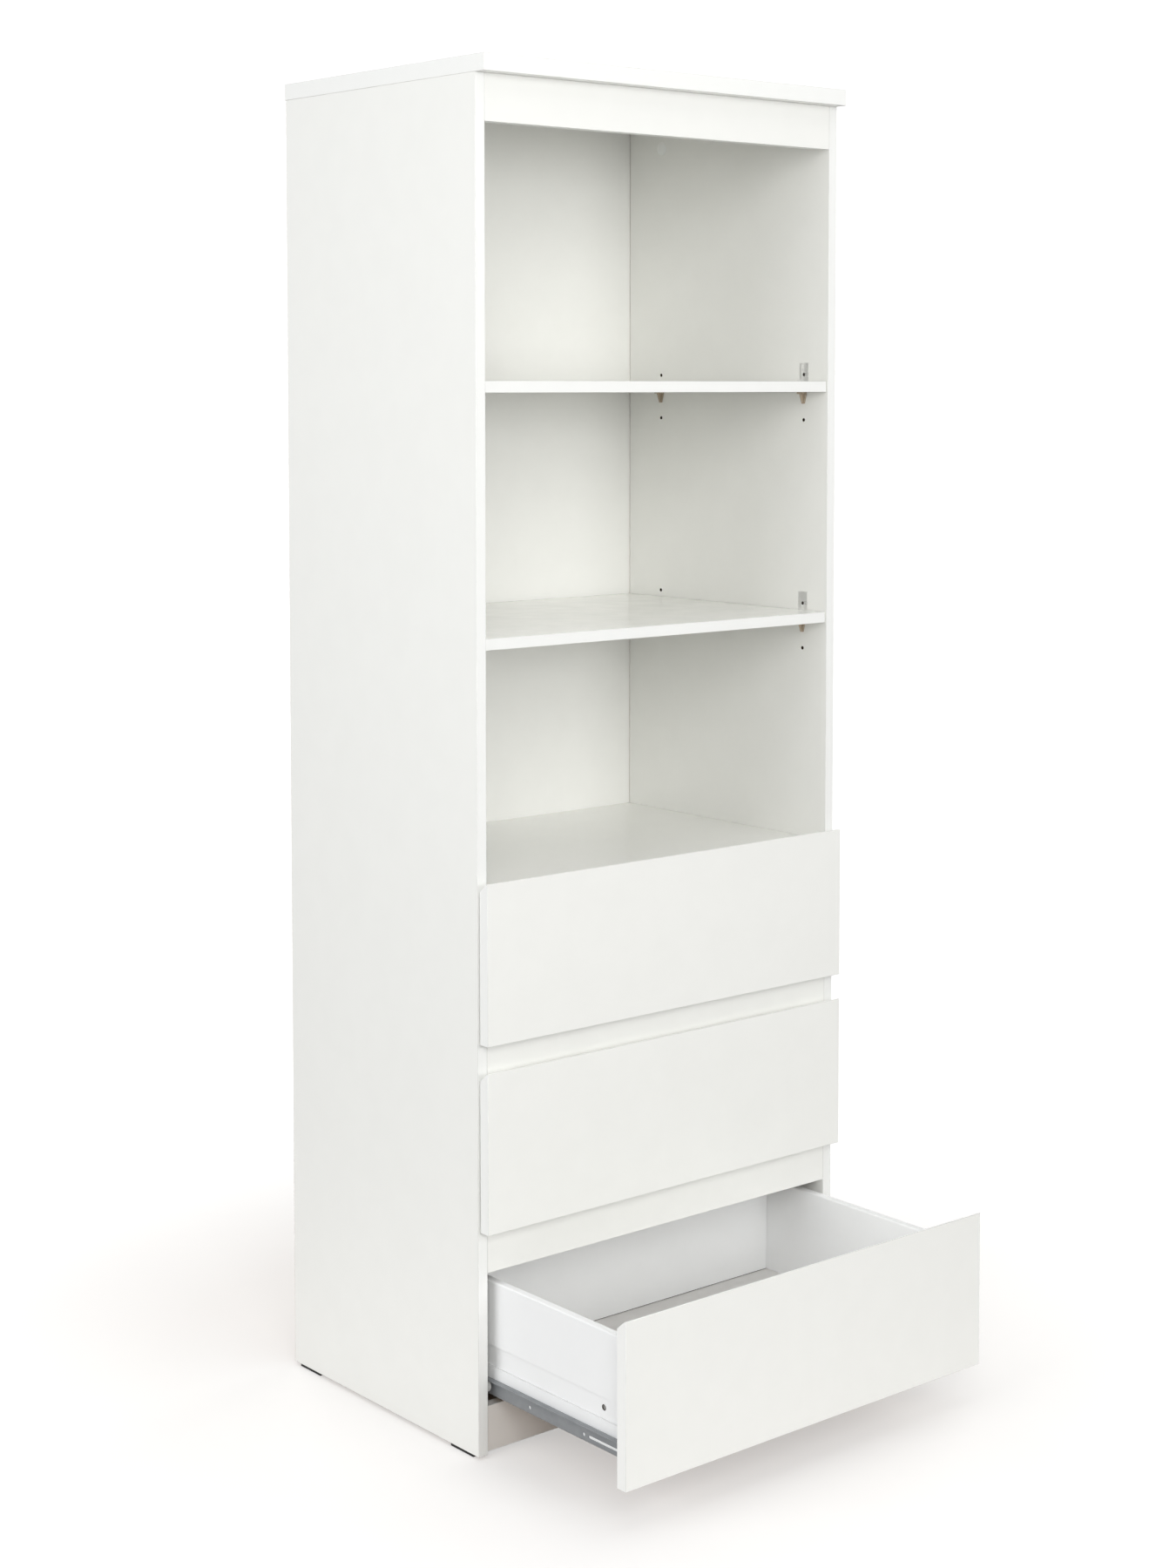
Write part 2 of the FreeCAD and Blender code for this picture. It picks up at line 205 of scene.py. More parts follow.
def addBackdrop(light):
    # a plain white surround that doesn't light the object
    glow = bpy.data.materials.new("whiteBackdrop")
    glow.use_nodes = True
    tree = glow.node_tree
    tree.nodes.remove(tree.nodes["Principled BSDF"])
    emission = put(tree, "ShaderNodeEmission", {"Strength": light["backdropStrength"]})
    wire(tree, tree.nodes["Material Output"], {"Surface": emission})
    work = bmesh.new()
    bmesh.ops.create_uvsphere(work, u_segments=48, v_segments=24, radius=light["backdropRadius"])
    backdrop = addStage("studioBackdrop", work, glow)
    backdrop.visible_diffuse = backdrop.visible_shadow = backdrop.visible_glossy = False


def addFloor(light):
    paint, tree, shader, place = startFinish("palePaint", light["floor"])
    radius = light["floorRadius"]
    stops = [(reach / radius, (solid, solid, solid)) for reach, solid in light["floorFade"]]
    wire(tree, shader, {"Alpha": ramp(tree, sums(tree, "DIVIDE", lengthOf(tree, place), radius), stops)})
    work = bmesh.new()
    bmesh.ops.create_circle(work, cap_ends=True, segments=96, radius=radius)
    addStage("studioFloor", work, paint)
    work = bmesh.new()
    (left, front), (right, back) = light["underCarcass"]
    work.faces.new([work.verts.new((x, y, -light["patchDrop"]))
                    for x, y in ((left, front), (right, front), (right, back), (left, back))])
    addStage("floorUnderCarcass", work, startFinish("solidPaint", light["floor"])[0])


addSky(studio)
for name, lamp in softboxes.items():
    addSoftbox(name, *lamp)
addBackdrop(studio)
addFloor(studio)
print("camera, floor and light are up")


# Finishes


def stretched(tree, place, scale):
    return put(tree, "ShaderNodeMapping", {"Vector": place, "Scale": scale})


def cloud(tree, place, scale, detail=2.0, roughness=0.5):
    return put(tree, "ShaderNodeTexNoise",
               {"Vector": place, "Scale": scale, "Detail": detail, "Roughness": roughness})


def spread(tree, value, low, high):
    # stretches the middle of a cloud's range to run from low to high
    return put(tree, "ShaderNodeMapRange",
               {"Value": value, "From Min": 0.3, "From Max": 0.7, "To Min": low, "To Max": high})


def mixed(tree, share, first, second, way="MIX"):
    # sockets 6 and 7 take the two colours, and output 2 gives the mixed one
    return put(tree, "ShaderNodeMix", {0: share, 6: first, 7: second}, 2, data_type="RGBA", blend_type=way)


def toned(tree, value, look, margin=0.3):
    # from the look's darker tone to its lighter one
    return ramp(tree, value, list(zip((margin, 1.0 - margin), look["tones"])))


def relief(tree, shader, heights):
    # each height is (value, distance in metres); they add up in one chain
    normal = []
    for value, distance in heights:
        normal = [put(tree, "ShaderNodeBump", {"Height": value, "Distance": distance, "Normal": normal})]
    wire(tree, shader, {"Normal": normal})


def melamineFinish(name, look):
    finish, tree, shader, place = startFinish(name, look["shader"])
    (broadScale, broadHeight), (pearlScale, pearlHeight) = look["mottle"], look["pearls"]
    broad = cloud(tree, place, broadScale, detail=3.0)
    pearls = cloud(tree, place, pearlScale, detail=1.5)
    wire(tree, shader, {"Base Color": toned(tree, broad, look, 0.35),
                        "Roughness": spread(tree, broad, *look["gloss"])})
    relief(tree, shader, [(pearls, pearlHeight), (broad, broadHeight)])
    return finish


whiteBoardLook = {
    "shader": {"Specular IOR Level": 0.5, "IOR": 1.5},
    "tones": [(0.896, 0.896, 0.864), (0.906, 0.906, 0.874)],
    "mottle": (24.0, 0.00002),  # scale, and height in metres
    "pearls": (1300.0, 0.00001),
    "gloss": (0.25, 0.21),
}

# a lighter copy of the white board, painted light for the shelves, and glossier
shelfLitLook = {
    **whiteBoardLook,
    "tones": [(0.922, 0.922, 0.890), (0.932, 0.932, 0.900)],
    "gloss": (0.17, 0.13),
}

# a darker, warmer copy of the white board: painted shade and warm bounce light, as fall on the plinth under
# the open drawer
plinthShadeLook = {
    **whiteBoardLook,
    "tones": [(0.840, 0.806, 0.768), (0.855, 0.821, 0.783)],
}

edgeBandLook = {
    **whiteBoardLook,
    "tones": [(0.900, 0.903, 0.882), (0.908, 0.911, 0.890)],
    "mottle": (40.0, 0.00003),
    "pearls": (900.0, 0.00001),
    "gloss": (0.36, 0.30),
}

bandJointLook = {
    **edgeBandLook,
    "tones": [(0.700, 0.695, 0.670), (0.780, 0.775, 0.750)],
}

drawerFoilLook = {
    "shader": {"Specular IOR Level": 0.4, "IOR": 1.5},
    "tones": [(0.884, 0.890, 0.890), (0.894, 0.900, 0.900)],
    "mottle": (18.0, 0.00014),
    "pearls": (700.0, 0.000012),
    "gloss": (0.40, 0.33),
}

# a darker copy of the drawer foil: painted shade for the ledge of the sunk band
ledgeShadeFoilLook = {
    **drawerFoilLook,
    "tones": [(0.740, 0.745, 0.745), (0.770, 0.775, 0.775)],
}

backFaceLook = {
    "shader": {"Specular IOR Level": 0.35, "IOR": 1.5},
    "tones": [(0.898, 0.898, 0.864), (0.908, 0.908, 0.874)],
    "mottle": (30.0, 0.00012),
    "pearls": (1600.0, 0.00001),
    "gloss": (0.40, 0.32),
}

drawerBaseLook = {
    "shader": {"Specular IOR Level": 0.3, "IOR": 1.5},
    "tones": [(0.800, 0.788, 0.768), (0.825, 0.813, 0.793)],
    "mottle": (45.0, 0.00008),
    "pearls": (1100.0, 0.00002),
    "gloss": (0.55, 0.46),
}

whitePlasticLook = {
    "shader": {"Specular IOR Level": 0.5, "IOR": 1.46, "Subsurface Weight": 0.08, "Subsurface Scale": 0.002},
    "tones": [(0.935, 0.935, 0.920), (0.950, 0.950, 0.935)],
    "mottle": (160.0, 0.00001),
    "pearls": (2600.0, 0.000008),
    "gloss": (0.34, 0.28),
}

nylonLook = {
    "shader": {"Specular IOR Level": 0.5, "IOR": 1.53},
    "tones": [(0.600, 0.600, 0.585), (0.660, 0.660, 0.645)],
    "mottle": (260.0, 0.00002),
    "pearls": (3000.0, 0.00001),
    "gloss": (0.42, 0.34),
}

blackPlasticLook = {
    "shader": {"Specular IOR Level": 0.45, "IOR": 1.5},
    "tones": [(0.008, 0.008, 0.008), (0.016, 0.016, 0.016)],
    "mottle": (220.0, 0.00002),
    "pearls": (2200.0, 0.00003),
    "gloss": (0.52, 0.42),
}

chipboardLook = {
    "shader": {"Specular IOR Level": 0.15, "Roughness": 0.85},
    "chipScale": 520.0,
    "chipStretch": (1.0, 1.0, 2.4),
    "chips": [(0.0, (0.250, 0.150, 0.075)), (0.35, (0.430, 0.290, 0.165)), (0.7, (0.560, 0.410, 0.255)),
              (1.0, (0.680, 0.540, 0.370))],
    "poreScale": 1400.0,
    "poreShare": 0.35,
    "chipHeight": 0.00025,
}

# chipboard darkened nearly to black: painted shade inside holes and crevices
holeShadeLook = {
    **chipboardLook,
    "chips": [(0.0, (0.020, 0.014, 0.010)), (0.5, (0.045, 0.030, 0.020)), (1.0, (0.090, 0.062, 0.040))],
}


def chipboardFinish(name, look):
    finish, tree, shader, place = startFinish(name, look["shader"])
    along = stretched(tree, place, look["chipStretch"])
    cells = put(tree, "ShaderNodeTexVoronoi", {"Vector": along, "Scale": look["chipScale"]}, "Color")
    pores = cloud(tree, place, look["poreScale"], detail=3.0, roughness=0.7)
    chips, dust = (ramp(tree, value, look["chips"]) for value in (cells, pores))
    wire(tree, shader, {"Base Color": mixed(tree, look["poreShare"], chips, dust)})
    relief(tree, shader, [(pores, look["chipHeight"])])
    return finish


hardboardLook = {
    "shader": {"Specular IOR Level": 0.2},
    "fibreScale": 420.0,
    "fibres": [(0.3, (0.300, 0.170, 0.080)), (0.55, (0.410, 0.250, 0.125)), (0.75, (0.490, 0.310, 0.165))],
    "blotchScale": 9.0,
    "blotch": (0.88, 0.86, 0.84, 1.0),
    "blotchShare": (0.0, 0.5),
    "fibreHeight": 0.00006,
    "gloss": (0.62, 0.78),
}


def hardboardFinish(name, look):
    finish, tree, shader, place = startFinish(name, look["shader"])
    fibres = cloud(tree, place, look["fibreScale"], detail=5.0, roughness=0.72)
    blotches = spread(tree, cloud(tree, place, look["blotchScale"]), *look["blotchShare"])
    tone = ramp(tree, fibres, look["fibres"])
    wire(tree, shader, {"Base Color": mixed(tree, blotches, tone, look["blotch"], "MULTIPLY"),
                        "Roughness": spread(tree, fibres, *look["gloss"])})
    relief(tree, shader, [(fibres, look["fibreHeight"])])
    return finish


runnerSteelLook = {
    "shader": {"Specular IOR Level": 0.5, "Metallic": 0.25},
    "tones": [(0.240, 0.252, 0.265), (0.282, 0.294, 0.307)],
    "mottleScale": 60.0,
    "peelScale": 900.0,
    "peelHeight": 0.00003,
    "drawScale": (900.0, 14.0, 900.0),  # drawing lines run along the runner
    "drawHeight": 0.00001,
    "gloss": (0.46, 0.34),
}


def runnerSteelFinish(name, look):
    finish, tree, shader, place = startFinish(name, look["shader"])
    broad = cloud(tree, place, look["mottleScale"], detail=3.0)
    peel = cloud(tree, place, look["peelScale"])
    lines = cloud(tree, stretched(tree, place, look["drawScale"]), scale=1.0)
    wire(tree, shader, {"Base Color": toned(tree, broad, look),
                        "Roughness": spread(tree, lines, *look["gloss"])})
    relief(tree, shader, [(peel, look["peelHeight"]), (lines, look["drawHeight"])])
    return finish


# what is cast or moulded: one cloud drives its colour, gloss and relief

zincLook = {
    "shader": {"Metallic": 1.0, "Specular IOR Level": 0.5},
    "tones": [(0.46, 0.46, 0.45), (0.64, 0.64, 0.62)],
    "flow": (420.0, 4.0, 0.6),  # scale, detail, roughness
    "flowHeight": 0.00003,
    "gloss": (0.50, 0.34),
}

amberLook = {
    "shader": {"IOR": 1.49, "Specular IOR Level": 0.5, "Alpha": 0.58},
    "tones": [(0.600, 0.470, 0.330), (0.740, 0.620, 0.480)],
    "flow": (180.0, 2.0, 0.5),
    "flowHeight": 0.00003,
    "gloss": (0.30, 0.20),
}

clearLook = {
    "shader": {"IOR": 1.46, "Specular IOR Level": 0.3, "Alpha": 0.035},
    "tones": [(0.93, 0.93, 0.92), (0.97, 0.97, 0.96)],
    "flow": (150.0, 2.0, 0.5),
    "flowHeight": 0.00002,
    "gloss": (0.16, 0.08),
}


def castFinish(name, look):
    finish, tree, shader, place = startFinish(name, look["shader"])
    flow = cloud(tree, place, *look["flow"])
    wire(tree, shader, {"Base Color": toned(tree, flow, look),
                        "Roughness": spread(tree, flow, *look["gloss"])})
    relief(tree, shader, [(flow, look["flowHeight"])])
    return finish


beechLook = {
    "shader": {"Specular IOR Level": 0.3, "Roughness": 0.6},
    "grainScale": (700.0, 700.0, 60.0),
    "grain": [(0.3, (0.560, 0.370, 0.215)), (0.6, (0.690, 0.490, 0.310)), (0.8, (0.760, 0.570, 0.380))],
    "grainHeight": 0.00005,
}


def beechFinish(name, look):
    finish, tree, shader, place = startFinish(name, look["shader"])
    grain = cloud(tree, stretched(tree, place, look["grainScale"]), scale=1.0, detail=4.0)
    wire(tree, shader, {"Base Color": ramp(tree, grain, look["grain"])})
    relief(tree, shader, [(grain, look["grainHeight"])])
    return finish


whiteBoard = melamineFinish("whiteMelamine", whiteBoardLook)
litShelfBoard = melamineFinish("shelfMelaminePaintedLight", shelfLitLook)
shadedPlinthBoard = melamineFinish("plinthMelaminePaintedShade", plinthShadeLook)
edgeBand = melamineFinish("whiteEdgeBand", edgeBandLook)
bandJoint = melamineFinish("bandJoint", bandJointLook)
drawerFoil = melamineFinish("drawerFoil", drawerFoilLook)
ledgeShadeFoil = melamineFinish("ledgeShadeFoil", ledgeShadeFoilLook)
backFace = melamineFinish("lacqueredBackFace", backFaceLook)
drawerBase = melamineFinish("drawerBasePaper", drawerBaseLook)
whitePlastic = melamineFinish("whitePlastic", whitePlasticLook)
nylon = melamineFinish("whiteNylon", nylonLook)
blackPlastic = melamineFinish("blackPlastic", blackPlasticLook)
chipboard = chipboardFinish("bareChipboard", chipboardLook)
holeShadeBoard = chipboardFinish("chipboardPaintedHoleShade", holeShadeLook)
hardboard = hardboardFinish("bareHardboard", hardboardLook)
runnerSteel = runnerSteelFinish("greyRunnerSteel", runnerSteelLook)
zinc = castFinish("castZinc", zincLook)
amberPlastic = castFinish("amberPlastic", amberLook)
clearPlastic = castFinish("clearPlastic", clearLook)
beech = beechFinish("beech", beechLook)
print("finishes mixed")


# Boards: a packed board's mesh is joined up, its edges are softened and its faces finished

tolerance = {
    "weld": 0.000002,  # in metres, like the last two
    "flatAngle": 0.4,  # degrees
    "onRim": 0.0001,
    "onEdge": 0.00001,
}
# a board's finishes, in the order that its look lists them
# the fourth slot is painted shade in holes and crevices, or bare hardboard on the thin sheets; the fifth is
# the edge band's glue joint on panels and painted shade on the drawer sides' ledge
faceFinish, edgeFinish, bareFinish, holeShadeFinish, jointAndLedgeShadeFinish = range(5)


def sideOf(normal):
    axis = max(range(3), key=lambda i: abs(normal[i]))
    return ("-" if normal[axis] < 0 else "+") + "XYZ"[axis]


def joinedCopy(mesh):
    work = bmesh.new()
    work.from_mesh(mesh)
    bmesh.ops.remove_doubles(work, verts=work.verts, dist=tolerance["weld"])
    flat = math.radians(tolerance["flatAngle"])
    bmesh.ops.dissolve_limit(work, angle_limit=flat, verts=work.verts, edges=work.edges)
    return work


def outlineEdges(work, shortest, sharpest=30):
    return [edge for edge in work.edges if len(edge.link_faces) == 2 and edge.calc_length() > shortest
            and edge.calc_face_angle(0) > math.radians(sharpest)]


def rimEdges(edges, low, high):
    # only those along the board's own rim, so not along a band or groove in its face
    def onPlane(edge, i):
        middle = (edge.verts[0].co[i] + edge.verts[1].co[i]) / 2
        return min(abs(middle - low[i]), abs(high[i] - middle)) < tolerance["onRim"]
    return [edge for edge in edges if sum(onPlane(edge, i) for i in range(3)) > 1]


def putOut(name, work, finishes, node):
    piece = addWork(name, work, finishes)
    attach(piece, bodyOf[node])
    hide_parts(node)


def dressBoard(node, look, source=None):
    work = joinedCopy(source or nodes[node].data)
    low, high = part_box(node)
    size = high - low
    thin = "XYZ"[min(range(3), key=lambda i: size[i])]
    edges = outlineEdges(work, look["shortest"])
    if look["rimOnly"]:
        edges = rimEdges(edges, low, high)
    made = bmesh.ops.bevel(work, geom=edges, offset=look["rounding"], segments=2, profile=0.5, affect="EDGES",
                           clamp_overlap=False)
    softened = {face for face in made["faces"] if face.is_valid}
    for face in work.faces:
        centre = face.calc_center_median()
        depth = min(min(centre[i] - low[i], high[i] - centre[i]) for i in range(3))
        reach = max(max(v.co[i] for v in face.verts) - min(v.co[i] for v in face.verts) for i in range(3))
        side = sideOf(face.normal)
        inside = depth > look["skin"] and face not in softened
        slanted = max(abs(value) for value in face.normal) < look["slant"]
        face.smooth = face in softened or slanted or (inside and side[1] != thin)
        if inside:
            # the walls of small holes get the painted hole shade
            face.material_index = holeShadeFinish if reach < look["drilledReach"] else look["cutFinish"]
        elif side in look["bareSides"]:
            face.material_index = bareFinish
        elif face in softened:
            # a board's rounded foot can take painted shade, where it stands in a crevice
            shadedFoot = "footShadeFinish" in look and centre.z - low.z < look["rounding"]
            face.material_index = look["footShadeFinish"] if shadedFoot else look["cornerFinish"]
        # the band's upward-facing ledge takes a darker finish as painted shade
        elif "ledgeShadeFinish" in look and side == "+Z" and high.z - centre.z > look["rounding"] * 2:
            face.material_index = look["ledgeShadeFinish"]
        else:
            face.material_index = faceFinish if side[1] == thin else edgeFinish
    putOut(node + "_dressed", work, look["finishes"], node)


panelLook = {
    # the fourth finish is painted shade for holes
    "finishes": (whiteBoard, edgeBand, chipboard, holeShadeBoard, bandJoint),
    "rounding": 0.0005,
    "rimOnly": False,
    "skin": 0.00075,  # how deep the covered surface reaches into the board
    "slant": 0.9995,  # faces that lean from the axes by more than this are curved
    "shortest": 0.012,
    "drilledReach": 0.04,
    "cutFinish": edgeFinish,
    "cornerFinish": jointAndLedgeShadeFinish,
    "bareSides": (),
}

# the shelves get a lighter copy of the white board as painted light, and the plinths a darker, warmer one as
# painted shade
for finish, boards in ((whiteBoard, ("top_panel", "top_rail", "lower_drawer_rail", "upper_drawer_rail")),
                       (litShelfBoard, ("fixed_shelf", "lower_shelf", "upper_shelf")),
                       (shadedPlinthBoard, ("front_plinth", "rear_plinth"))):
    for board in boards:
        dressBoard(board, {**panelLook, "finishes": (finish, *panelLook["finishes"][1:])})
for level in levels:
    dressBoard(level + "_drawer_front", panelLook)

drawerBoxLook = {
    **panelLook,
    # the last two finishes are painted shade: one for holes and one for the band's ledge
    "finishes": (drawerFoil, drawerFoil, chipboard, holeShadeBoard, ledgeShadeFoil),
    "rounding": 0.0004,
    "rimOnly": True,
    "skin": 0.0032,  # the foil wraps into the sunk band
    "shortest": 0.011,
    "cutFinish": bareFinish,
    "cornerFinish": faceFinish,
    "ledgeShadeFinish": jointAndLedgeShadeFinish,  # the band's ledge, painted darker than the foil as shade along the sunk band
}

# its foot, where it meets the bottom sheet, is painted dark as the shade of the crevice between them
drawerBackLook = {**drawerBoxLook, "rounding": 0.0009, "footShadeFinish": holeShadeFinish}

thinSheetLook = {
    **panelLook,
    "finishes": (backFace, hardboard, hardboard, hardboard),
    "rounding": 0.0002,
    "skin": 0.0003,
    "shortest": 0.002,
    "drilledReach": 0.0,
    "cutFinish": bareFinish,
    "cornerFinish": edgeFinish,
    "bareSides": ("+Y", "-X", "+X", "-Z", "+Z"),
}

drawerBottomLook = {
    **thinSheetLook,
    "finishes": (drawerBase, hardboard, hardboard, hardboard),
    "bareSides": ("-Z", "-X", "+X", "-Y", "+Y"),
}

for level in levels:
    for part in ("left_side", "right_side"):
        dressBoard(level + "_drawer_" + part, drawerBoxLook)
    dressBoard(level + "_drawer_back", drawerBackLook)
for level in levels:
    dressBoard(level + "_drawer_bottom", drawerBottomLook)
print("boards dressed")


# Moulded fittings

mouldedLook = {"shortest": 0.002, "rounding": 0.0004, "smoothAngle": 35}


def dressFitting(node, finish, look):
    work = joinedCopy(nodes[node].data)
    bmesh.ops.bevel(work, geom=outlineEdges(work, look["shortest"]), offset=look["rounding"], segments=2,
                    profile=0.5, affect="EDGES", clamp_overlap=True)
    for face in work.faces:
        face.smooth = True
    smoothest = math.radians(look["smoothAngle"])
    for edge in work.edges:
        edge.smooth = len(edge.link_faces) == 2 and edge.calc_face_angle(0) < smoothest
    putOut(node + "_dressed", work, (finish,), node)


for node in ("lower_shelf_supports", "upper_shelf_supports"):
    dressFitting(node, amberPlastic, mouldedLook)
dressFitting("shelf_lock_tabs", clearPlastic, mouldedLook)
dressFitting("foot_pads", blackPlastic, mouldedLook)

for node, finish in (("cam_bolts", zinc), ("wooden_dowels", beech)):
    nodes[node].data.materials.clear()
    nodes[node].data.materials.append(finish)
print("moulded fittings dressed")


# Node trees for what is drilled, folded, turned or repeated


def startTree(name, inputs):
    # inputs is {label: starting value}; each tree also takes points or a line, and a finish
    tree = bpy.data.node_groups.new(name, "GeometryNodeTree")
    kinds = {int: "Int", float: "Float", tuple: "Vector", type(None): "Material"}
    tree.interface.new_socket("Geometry", in_out="INPUT", socket_type="NodeSocketGeometry")
    for label, value in {**inputs, "Material": None}.items():
        kind = "NodeSocket" + kinds[type(value)]
        socket = tree.interface.new_socket(label, in_out="INPUT", socket_type=kind)
        if value is not None:
            socket.default_value = value
    tree.interface.new_socket("Geometry", in_out="OUTPUT", socket_type="NodeSocketGeometry")
    return tree, tree.nodes.new("NodeGroupInput").outputs


def times(tree, first, second):
    return sums(tree, "MULTIPLY", first, second)


def arrows(tree, operation, first, second):
    return put(tree, "ShaderNodeVectorMath", {0: first, 1: second}, operation=operation)


def spot(tree, x=0.0, y=0.0, z=0.0):
    return put(tree, "ShaderNodeCombineXYZ", {"X": x, "Y": y, "Z": z})


def moved(tree, shape, place):
    return put(tree, "GeometryNodeTransform", {"Geometry": shape, "Translation": place})


def block(tree, size, place=(0.0, 0.0, 0.0)):
    return moved(tree, put(tree, "GeometryNodeMeshCube", {"Size": size}), place)


def cylinder(tree, radius, depth, sides=24):
    return put(tree, "GeometryNodeMeshCylinder", {"Vertices": sides, "Radius": radius, "Depth": depth})


def realized(tree, shape):
    return put(tree, "GeometryNodeRealizeInstances", {"Geometry": shape})


def cutAway(tree, shape, tools):
    return put(tree, "GeometryNodeMeshBoolean", {"Mesh 1": shape, "Mesh 2": tools}, operation="DIFFERENCE",
               solver="EXACT")


def noted(tree, name, kind="FLOAT"):
    return put(tree, "GeometryNodeInputNamedAttribute", {"Name": name}, data_type=kind)


def isKind(tree, value):
    # true on the points whose "kind" is this number
    return put(tree, "FunctionNodeCompare", {"A": noted(tree, "kind"), "B": float(value), "Epsilon": 0.1},
               data_type="FLOAT", operation="EQUAL")


def onPoints(tree, points, shape, turn=0.0, turnSpread=0.0, seed=0, chosen=True):
    # stands the shape on each point along its "facing", turned about it
    facing = noted(tree, "facing", "FLOAT_VECTOR")
    stand = put(tree, "FunctionNodeAlignRotationToVector", {"Vector": facing}, axis="Z")
    lowest, highest = (sums(tree, way, turn, turnSpread) for way in ("SUBTRACT", "ADD"))
    chance = put(tree, "FunctionNodeRandomValue", {2: lowest, 3: highest, "Seed": seed}, 1, data_type="FLOAT")
    about = put(tree, "FunctionNodeAxisAngleToRotation", {"Axis": (0.0, 0.0, 1.0), "Angle": chance})
    turned = put(tree, "FunctionNodeRotateRotation", {"Rotation": stand, "Rotate By": about},
                 rotation_space="LOCAL")
    return put(tree, "GeometryNodeInstanceOnPoints",
               {"Points": points, "Selection": chosen, "Instance": shape, "Rotation": turned})


def domedDisc(tree, radius, height, drop, power=2.0, sides=24, rings=4):
    # stands on its base, and its top falls towards the rim
    blank = tree.nodes.new("GeometryNodeMeshCylinder")
    wire(tree, blank, {"Vertices": sides, "Fill Segments": rings, "Radius": radius, "Depth": height})
    flat = arrows(tree, "MULTIPLY", put(tree, "GeometryNodeInputPosition"), (1.0, 1.0, 0.0))
    share = sums(tree, "POWER", sums(tree, "DIVIDE", lengthOf(tree, flat), radius), power)
    domed = put(tree, "GeometryNodeSetPosition",
                {"Geometry": blank.outputs["Mesh"], "Selection": blank.outputs["Top"],
                 "Offset": spot(tree, z=times(tree, times(tree, share, drop), -1.0))})
    return moved(tree, domed, spot(tree, z=times(tree, height, 0.5)))


def endTree(tree, given, shape, sharpest=0.6):
    # realized, shaded smooth except over sharp edges (the angle is in radians), and finished
    smooth = put(tree, "GeometryNodeSetShadeSmooth",
                 {"Geometry": realized(tree, shape), "Shade Smooth": True}, domain="FACE")
    angle = put(tree, "GeometryNodeInputMeshEdgeAngle")
    sharp = put(tree, "FunctionNodeCompare", {"A": angle, "B": sharpest}, data_type="FLOAT",
                operation="GREATER_THAN")
    creased = put(tree, "GeometryNodeSetShadeSmooth",
                  {"Geometry": smooth, "Selection": sharp, "Shade Smooth": False}, domain="EDGE")
    done = put(tree, "GeometryNodeSetMaterial", {"Geometry": creased, "Material": given["Material"]})
    wire(tree, tree.nodes.new("NodeGroupOutput"), {"Geometry": done})
    return tree


def endOnPoints(tree, given, shape, *turning):
    return endTree(tree, given, onPoints(tree, given["Geometry"], shape, *turning))


def pointMesh(name, points, edges=()):
    # points is [(place, facing, kind)]
    mesh = bpy.data.meshes.new(name)
    mesh.from_pydata([place for place, facing, kind in points], edges, [])
    facings = mesh.attributes.new("facing", "FLOAT_VECTOR", "POINT")
    facings.data.foreach_set("vector", [value for place, facing, kind in points for value in facing])
    kinds = mesh.attributes.new("kind", "FLOAT", "POINT")
    kinds.data.foreach_set("value", [float(kind) for place, facing, kind in points])
    return mesh


def grow(name, tree, mesh, values):
    # runs the tree on the mesh and leaves a plain mesh behind
    piece = addObject(name, mesh)
    modifier = piece.modifiers.new(tree.name, "NODES")
    modifier.node_group = tree
    for item in tree.interface.items_tree:
        if item.name in values:
            modifier[item.identifier] = values[item.name]
    grown = bpy.data.meshes.new_from_object(piece.evaluated_get(bpy.context.evaluated_depsgraph_get()))
    piece.modifiers.clear()
    piece.data = grown
    bpy.data.meshes.remove(mesh)
    for attribute in ("facing", "kind"):
        if attribute in grown.attributes:
            grown.attributes.remove(grown.attributes[attribute])
    # the boolean leaves empty slots before the tree's own finish
    grown.materials.clear()
    grown.materials.append(values["Material"])
    grown.polygons.foreach_set("material_index", [0] * len(grown.polygons))
    return piece


def repeated(name, tree, spots, body, finish, values=None, stands=()):
    # one plain mesh with a copy on each spot (place, facing), standing for the named nodes
    points = [(place, facing, 0) for place, facing in spots]
    piece = grow(name, tree, pointMesh(name, points), {**(values or {}), "Material": finish})
    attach(piece, body)
    for node in stands:
        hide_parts(node)


# Where holes and small fittings go, in metres from the boards' edges

drawerRails = ("lower_drawer_rail", "upper_drawer_rail")
fixings = {
    "columns": (0.0475, 0.073),  # rows of holes, in from the front and the back edge
    "holeDrop": 0.0075,  # from a shelf's underside down to its support's hole
    "camInset": 0.034,  # from a board's end to its cam
    "bolts": (0.05, 0.05),  # in from the fixed shelf's front and back edge
}


def innerFace(word):
    # the panel's face that looks into the carcass
    low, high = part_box(word + "_side_panel")
    return high.x if word == "left" else low.x


def inFrom(board, front, back):
    low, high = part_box(board)
    return low.y + front, high.y - back


def endOf(board, side):
    # the middle of the board's end on this side
    low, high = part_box(board)
    return Vector((high.x if side > 0 else low.x, (low.y + high.y) / 2, (low.z + high.z) / 2))


columnSpots = inFrom("left_side_panel", *fixings["columns"])
boltSpots = inFrom("fixed_shelf", *fixings["bolts"])

# Side panels, drilled in rows, and back sheets, dimpled for their nails

drilledSize = {
    "Low corner": (0.0, 0.0, 0.0),
    "High corner": (1.0, 1.0, 1.0),
    "Pitch": 0.032,
    "Holes in a row": 3,
    "Hole radius": 0.0025,
    "Hole depth": 0.011,
    "Cam bore radius": 0.0075,
    "Cam bore depth": 0.012,
    "Dowel bore radius": 0.0041,
    "Dowel bore depth": 0.01,
    "Bolt bore radius": 0.0031,
    "Bolt bore depth": 0.011,
    "End bore radius": 0.0031,
    "End bore depth": 0.034,
    "Dimple radius": 0.0022,
    "Dimple depth": 0.0006,
}
rowStart = 0  # the kinds of point that the drill goes to
singleBores = {"Cam bore": 1, "Dowel bore": 2, "Bolt bore": 3, "End bore": 4, "Dimple": 5}


